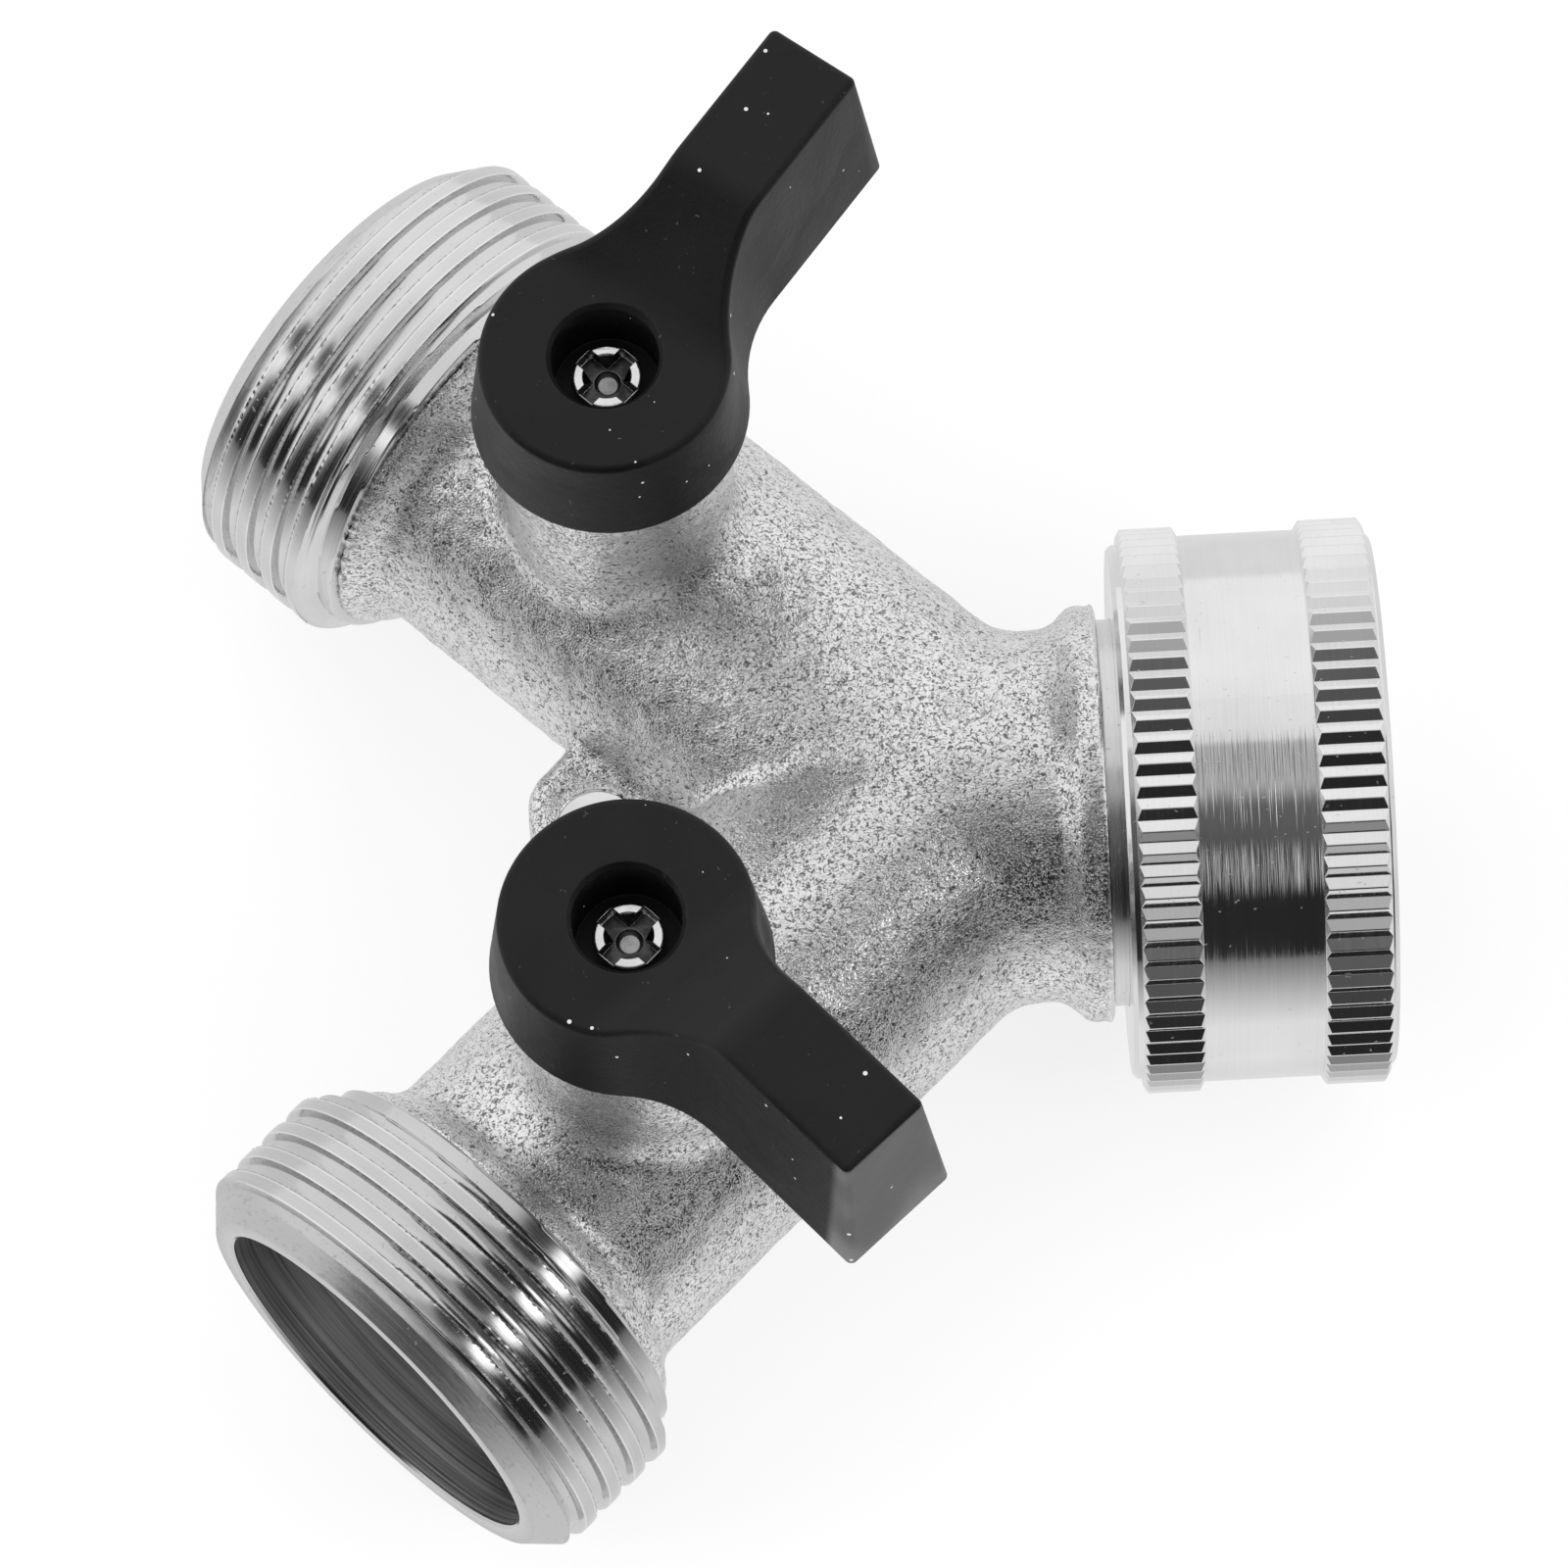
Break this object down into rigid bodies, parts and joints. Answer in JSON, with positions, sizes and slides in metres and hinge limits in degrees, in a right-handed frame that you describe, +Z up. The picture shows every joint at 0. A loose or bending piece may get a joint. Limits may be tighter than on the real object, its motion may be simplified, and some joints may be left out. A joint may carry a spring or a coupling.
{
  "type": "hose splitter",
  "caption": "Y-shaped garden hose splitter with a knurled swivel inlet nut, externally threaded outlets and quarter-turn lever ball valves.",
  "frame": {"origin": "centre of the swivel nut's mouth, on its end face", "axes": "+X out of the nut's mouth along the inlet axis, +Z up along the valve stems, outlet a towards +Y and outlet b towards -Y"},
  "size_m": [0.0628, 0.077, 0.0462],
  "materials": {
    "cast_nickel": "sand-textured nickel-plated casting",
    "turned_nickel": "turned, nickel plated",
    "turned_chrome": "bright turned and knurled",
    "black_plastic": "satin moulded",
    "zinc_plated": "bright zinc plate",
    "ball_chrome": "polished",
    "brass": "turned",
    "rubber": "moulded",
    "white_plastic": "machined"
  },
  "bodies": {
    "housing": {"body": "cast_nickel", "inlet_tailpiece": "turned_nickel", "tailpiece_oring": "rubber", "seat_inner_a": "white_plastic", "seat_outer_a": "white_plastic", "seat_retainer_a": "turned_nickel", "seat_inner_b": "white_plastic", "seat_outer_b": "white_plastic", "seat_retainer_b": "turned_nickel"},
    "nut": {"swivel_nut": "turned_chrome", "hose_washer": "rubber"},
    "valve_a": {"handle_a": "black_plastic", "handle_screw_a": "zinc_plated", "stem_a": "brass", "stem_orings_a": "rubber", "thrust_washer_a": "white_plastic", "ball_a": "ball_chrome"},
    "valve_b": {"handle_b": "black_plastic", "handle_screw_b": "zinc_plated", "stem_b": "brass", "stem_orings_b": "rubber", "thrust_washer_b": "white_plastic", "ball_b": "ball_chrome"}
  },
  "joints": [
    {"name": "nut_spin", "type": "hinge", "parent": "housing", "child": "nut", "pos_m": [-0.007, 0, 0], "axis": [1, 0, 0], "continuous": true},
    {"name": "valve_a_turn", "type": "hinge", "parent": "housing", "child": "valve_a", "pos_m": [-0.03968, 0.01563, 0.0225], "axis": [0, 0, 1], "range_deg": [-5.8, 84.2]},
    {"name": "valve_b_turn", "type": "hinge", "parent": "housing", "child": "valve_b", "pos_m": [-0.03968, -0.01563, 0.0225], "axis": [0, 0, 1], "range_deg": [-87.4, 2.6]}
  ]
}
